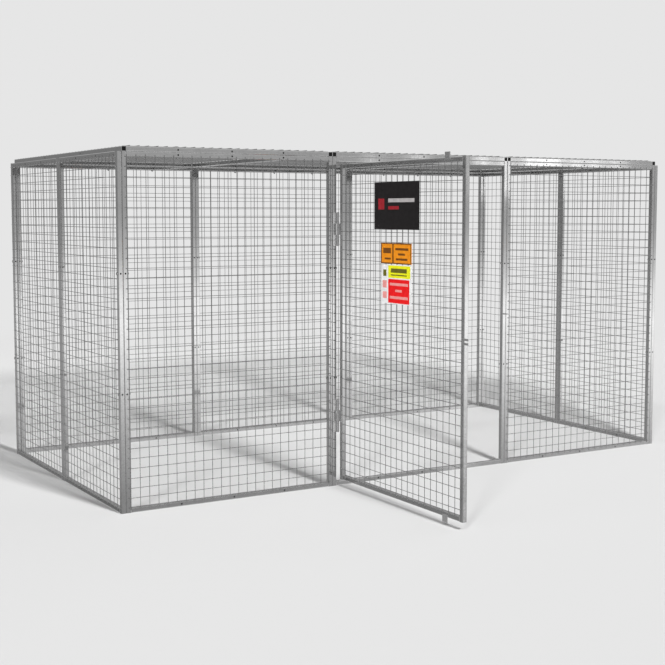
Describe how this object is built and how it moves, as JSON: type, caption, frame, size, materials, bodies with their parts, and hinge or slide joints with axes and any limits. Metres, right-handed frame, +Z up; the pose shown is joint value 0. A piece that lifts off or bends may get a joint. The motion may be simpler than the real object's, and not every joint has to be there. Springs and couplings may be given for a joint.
{
  "type": "gas cylinder cage",
  "caption": "Free-standing bolted steel mesh cage with a mesh roof and a hinged mesh door with a hasp, for storing gas cylinders.",
  "frame": {"origin": "middle of the underside of the doorway's sill tube", "axes": "+X along the front, to the right seen from outside; +Y from the front to the back; +Z up"},
  "size_m": [3.6624, 2.9817, 1.8312],
  "materials": {
    "galvanised_tube": "satin zinc-coated box section",
    "mesh_wire": "zinc-coated drawn wire",
    "fittings": "satin zinc-coated plate",
    "fasteners": "bright zinc plating",
    "black_plastic": "moulded black plastic",
    "sign_black": "flat black sheet, bare",
    "sign_orange": "flat orange sheet with a dark border",
    "sign_white": "flat white sheet with plain colour fields",
    "sign_yellow": "yellow vinyl field on a sign",
    "sign_red": "red vinyl field on a sign"
  },
  "bodies": {
    "cage": {"front_left_frame": "galvanised_tube", "front_left_mesh": "mesh_wire", "door_frame": "galvanised_tube", "front_right_frame": "galvanised_tube", "front_right_mesh": "mesh_wire", "back_left_frame": "galvanised_tube", "back_left_mesh": "mesh_wire", "back_middle_frame": "galvanised_tube", "back_middle_mesh": "mesh_wire", "back_right_frame": "galvanised_tube", "back_right_mesh": "mesh_wire", "left_front_frame": "galvanised_tube", "left_front_mesh": "mesh_wire", "left_back_frame": "galvanised_tube", "left_back_mesh": "mesh_wire", "right_front_frame": "galvanised_tube", "right_front_mesh": "mesh_wire", "right_back_frame": "galvanised_tube", "right_back_mesh": "mesh_wire", "roof_left_frame": "galvanised_tube", "roof_left_mesh": "mesh_wire", "roof_middle_frame": "galvanised_tube", "roof_middle_mesh": "mesh_wire", "roof_right_frame": "galvanised_tube", "roof_right_mesh": "mesh_wire", "roof_plugs": "black_plastic", "side_plugs": "black_plastic", "panel_bolts": "fasteners", "panel_nuts": "fasteners", "side_bolts": "fasteners", "side_nuts": "fasteners", "roof_bolts": "fasteners", "roof_nuts": "fasteners", "roof_side_bolts": "fasteners", "roof_side_nuts": "fasteners", "hinge_post_leaves": "fittings", "hinge_pins": "fasteners", "lock_staple": "fittings"},
    "door": {"door_leaf_frame": "galvanised_tube", "door_leaf_mesh": "mesh_wire", "door_plugs": "black_plastic", "hinge_door_leaves": "fittings", "door_stops": "fittings", "lock_hasp": "fittings", "sign_upper": "sign_black", "sign_middle": "sign_orange", "sign_lower": "sign_white", "sign_rivets": "fasteners", "sign_washers": "fasteners"}
  },
  "joints": [
    {"name": "door_swing", "type": "hinge", "parent": "cage", "child": "door", "pos_m": [-0.57, -0.0195, 0.9], "axis": [0, 0, 1], "range_deg": [-80, 90]}
  ]
}
